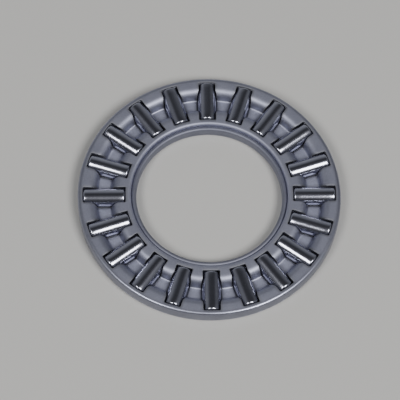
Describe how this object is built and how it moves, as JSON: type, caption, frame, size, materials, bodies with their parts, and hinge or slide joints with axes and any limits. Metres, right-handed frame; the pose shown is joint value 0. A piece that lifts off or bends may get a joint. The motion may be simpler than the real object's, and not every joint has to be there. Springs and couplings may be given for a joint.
{
  "type": "thrust needle roller and cage assembly",
  "caption": "Thin flat bearing ring: radial needle rollers held in a two-piece pressed steel cage, carrying axial load between two flat faces.",
  "frame": {"origin": "centre of the ring on its middle plane, half way between the two planes that the rollers touch", "axes": "+Z along the bearing axis, towards the face with the trough and the curled lip round the bore; +X along the axis of roller_01; roller numbers rise anticlockwise seen from +Z"},
  "size_m": [0.0286, 0.0286, 0.002],
  "materials": {
    "cage_steel": "satin, hardened pressed sheet",
    "roller_steel": "ground and polished"
  },
  "bodies": {
    "cage": {"cage_upper": "cage_steel", "cage_lower": "cage_steel"},
    "roller_01": {"roller_01": "roller_steel"},
    "roller_02": {"roller_02": "roller_steel"},
    "roller_03": {"roller_03": "roller_steel"},
    "roller_04": {"roller_04": "roller_steel"},
    "roller_05": {"roller_05": "roller_steel"},
    "roller_06": {"roller_06": "roller_steel"},
    "roller_07": {"roller_07": "roller_steel"},
    "roller_08": {"roller_08": "roller_steel"},
    "roller_09": {"roller_09": "roller_steel"},
    "roller_10": {"roller_10": "roller_steel"},
    "roller_11": {"roller_11": "roller_steel"},
    "roller_12": {"roller_12": "roller_steel"},
    "roller_13": {"roller_13": "roller_steel"},
    "roller_14": {"roller_14": "roller_steel"},
    "roller_15": {"roller_15": "roller_steel"},
    "roller_16": {"roller_16": "roller_steel"},
    "roller_17": {"roller_17": "roller_steel"},
    "roller_18": {"roller_18": "roller_steel"},
    "roller_19": {"roller_19": "roller_steel"},
    "roller_20": {"roller_20": "roller_steel"}
  },
  "joints": [
    {"name": "roller_01_spin", "type": "hinge", "parent": "cage", "child": "roller_01", "pos_m": [0.01143, 0, 0], "axis": [1, 0, 0], "continuous": true},
    {"name": "roller_02_spin", "type": "hinge", "parent": "cage", "child": "roller_02", "pos_m": [0.01087, 0.00353, 0], "axis": [0.9511, 0.309, 0], "continuous": true},
    {"name": "roller_03_spin", "type": "hinge", "parent": "cage", "child": "roller_03", "pos_m": [0.00925, 0.00672, 0], "axis": [0.809, 0.5878, 0], "continuous": true},
    {"name": "roller_04_spin", "type": "hinge", "parent": "cage", "child": "roller_04", "pos_m": [0.00672, 0.00925, 0], "axis": [0.5878, 0.809, 0], "continuous": true},
    {"name": "roller_05_spin", "type": "hinge", "parent": "cage", "child": "roller_05", "pos_m": [0.00353, 0.01087, 0], "axis": [0.309, 0.9511, 0], "continuous": true},
    {"name": "roller_06_spin", "type": "hinge", "parent": "cage", "child": "roller_06", "pos_m": [0, 0.01143, 0], "axis": [0, 1, 0], "continuous": true},
    {"name": "roller_07_spin", "type": "hinge", "parent": "cage", "child": "roller_07", "pos_m": [-0.00353, 0.01087, 0], "axis": [-0.309, 0.9511, 0], "continuous": true},
    {"name": "roller_08_spin", "type": "hinge", "parent": "cage", "child": "roller_08", "pos_m": [-0.00672, 0.00925, 0], "axis": [-0.5878, 0.809, 0], "continuous": true},
    {"name": "roller_09_spin", "type": "hinge", "parent": "cage", "child": "roller_09", "pos_m": [-0.00925, 0.00672, 0], "axis": [-0.809, 0.5878, 0], "continuous": true},
    {"name": "roller_10_spin", "type": "hinge", "parent": "cage", "child": "roller_10", "pos_m": [-0.01087, 0.00353, 0], "axis": [-0.9511, 0.309, 0], "continuous": true},
    {"name": "roller_11_spin", "type": "hinge", "parent": "cage", "child": "roller_11", "pos_m": [-0.01143, 0, 0], "axis": [-1, 0, 0], "continuous": true},
    {"name": "roller_12_spin", "type": "hinge", "parent": "cage", "child": "roller_12", "pos_m": [-0.01087, -0.00353, 0], "axis": [-0.9511, -0.309, 0], "continuous": true},
    {"name": "roller_13_spin", "type": "hinge", "parent": "cage", "child": "roller_13", "pos_m": [-0.00925, -0.00672, 0], "axis": [-0.809, -0.5878, 0], "continuous": true},
    {"name": "roller_14_spin", "type": "hinge", "parent": "cage", "child": "roller_14", "pos_m": [-0.00672, -0.00925, 0], "axis": [-0.5878, -0.809, 0], "continuous": true},
    {"name": "roller_15_spin", "type": "hinge", "parent": "cage", "child": "roller_15", "pos_m": [-0.00353, -0.01087, 0], "axis": [-0.309, -0.9511, 0], "continuous": true},
    {"name": "roller_16_spin", "type": "hinge", "parent": "cage", "child": "roller_16", "pos_m": [0, -0.01143, 0], "axis": [0, -1, 0], "continuous": true},
    {"name": "roller_17_spin", "type": "hinge", "parent": "cage", "child": "roller_17", "pos_m": [0.00353, -0.01087, 0], "axis": [0.309, -0.9511, 0], "continuous": true},
    {"name": "roller_18_spin", "type": "hinge", "parent": "cage", "child": "roller_18", "pos_m": [0.00672, -0.00925, 0], "axis": [0.5878, -0.809, 0], "continuous": true},
    {"name": "roller_19_spin", "type": "hinge", "parent": "cage", "child": "roller_19", "pos_m": [0.00925, -0.00672, 0], "axis": [0.809, -0.5878, 0], "continuous": true},
    {"name": "roller_20_spin", "type": "hinge", "parent": "cage", "child": "roller_20", "pos_m": [0.01087, -0.00353, 0], "axis": [0.9511, -0.309, 0], "continuous": true}
  ]
}
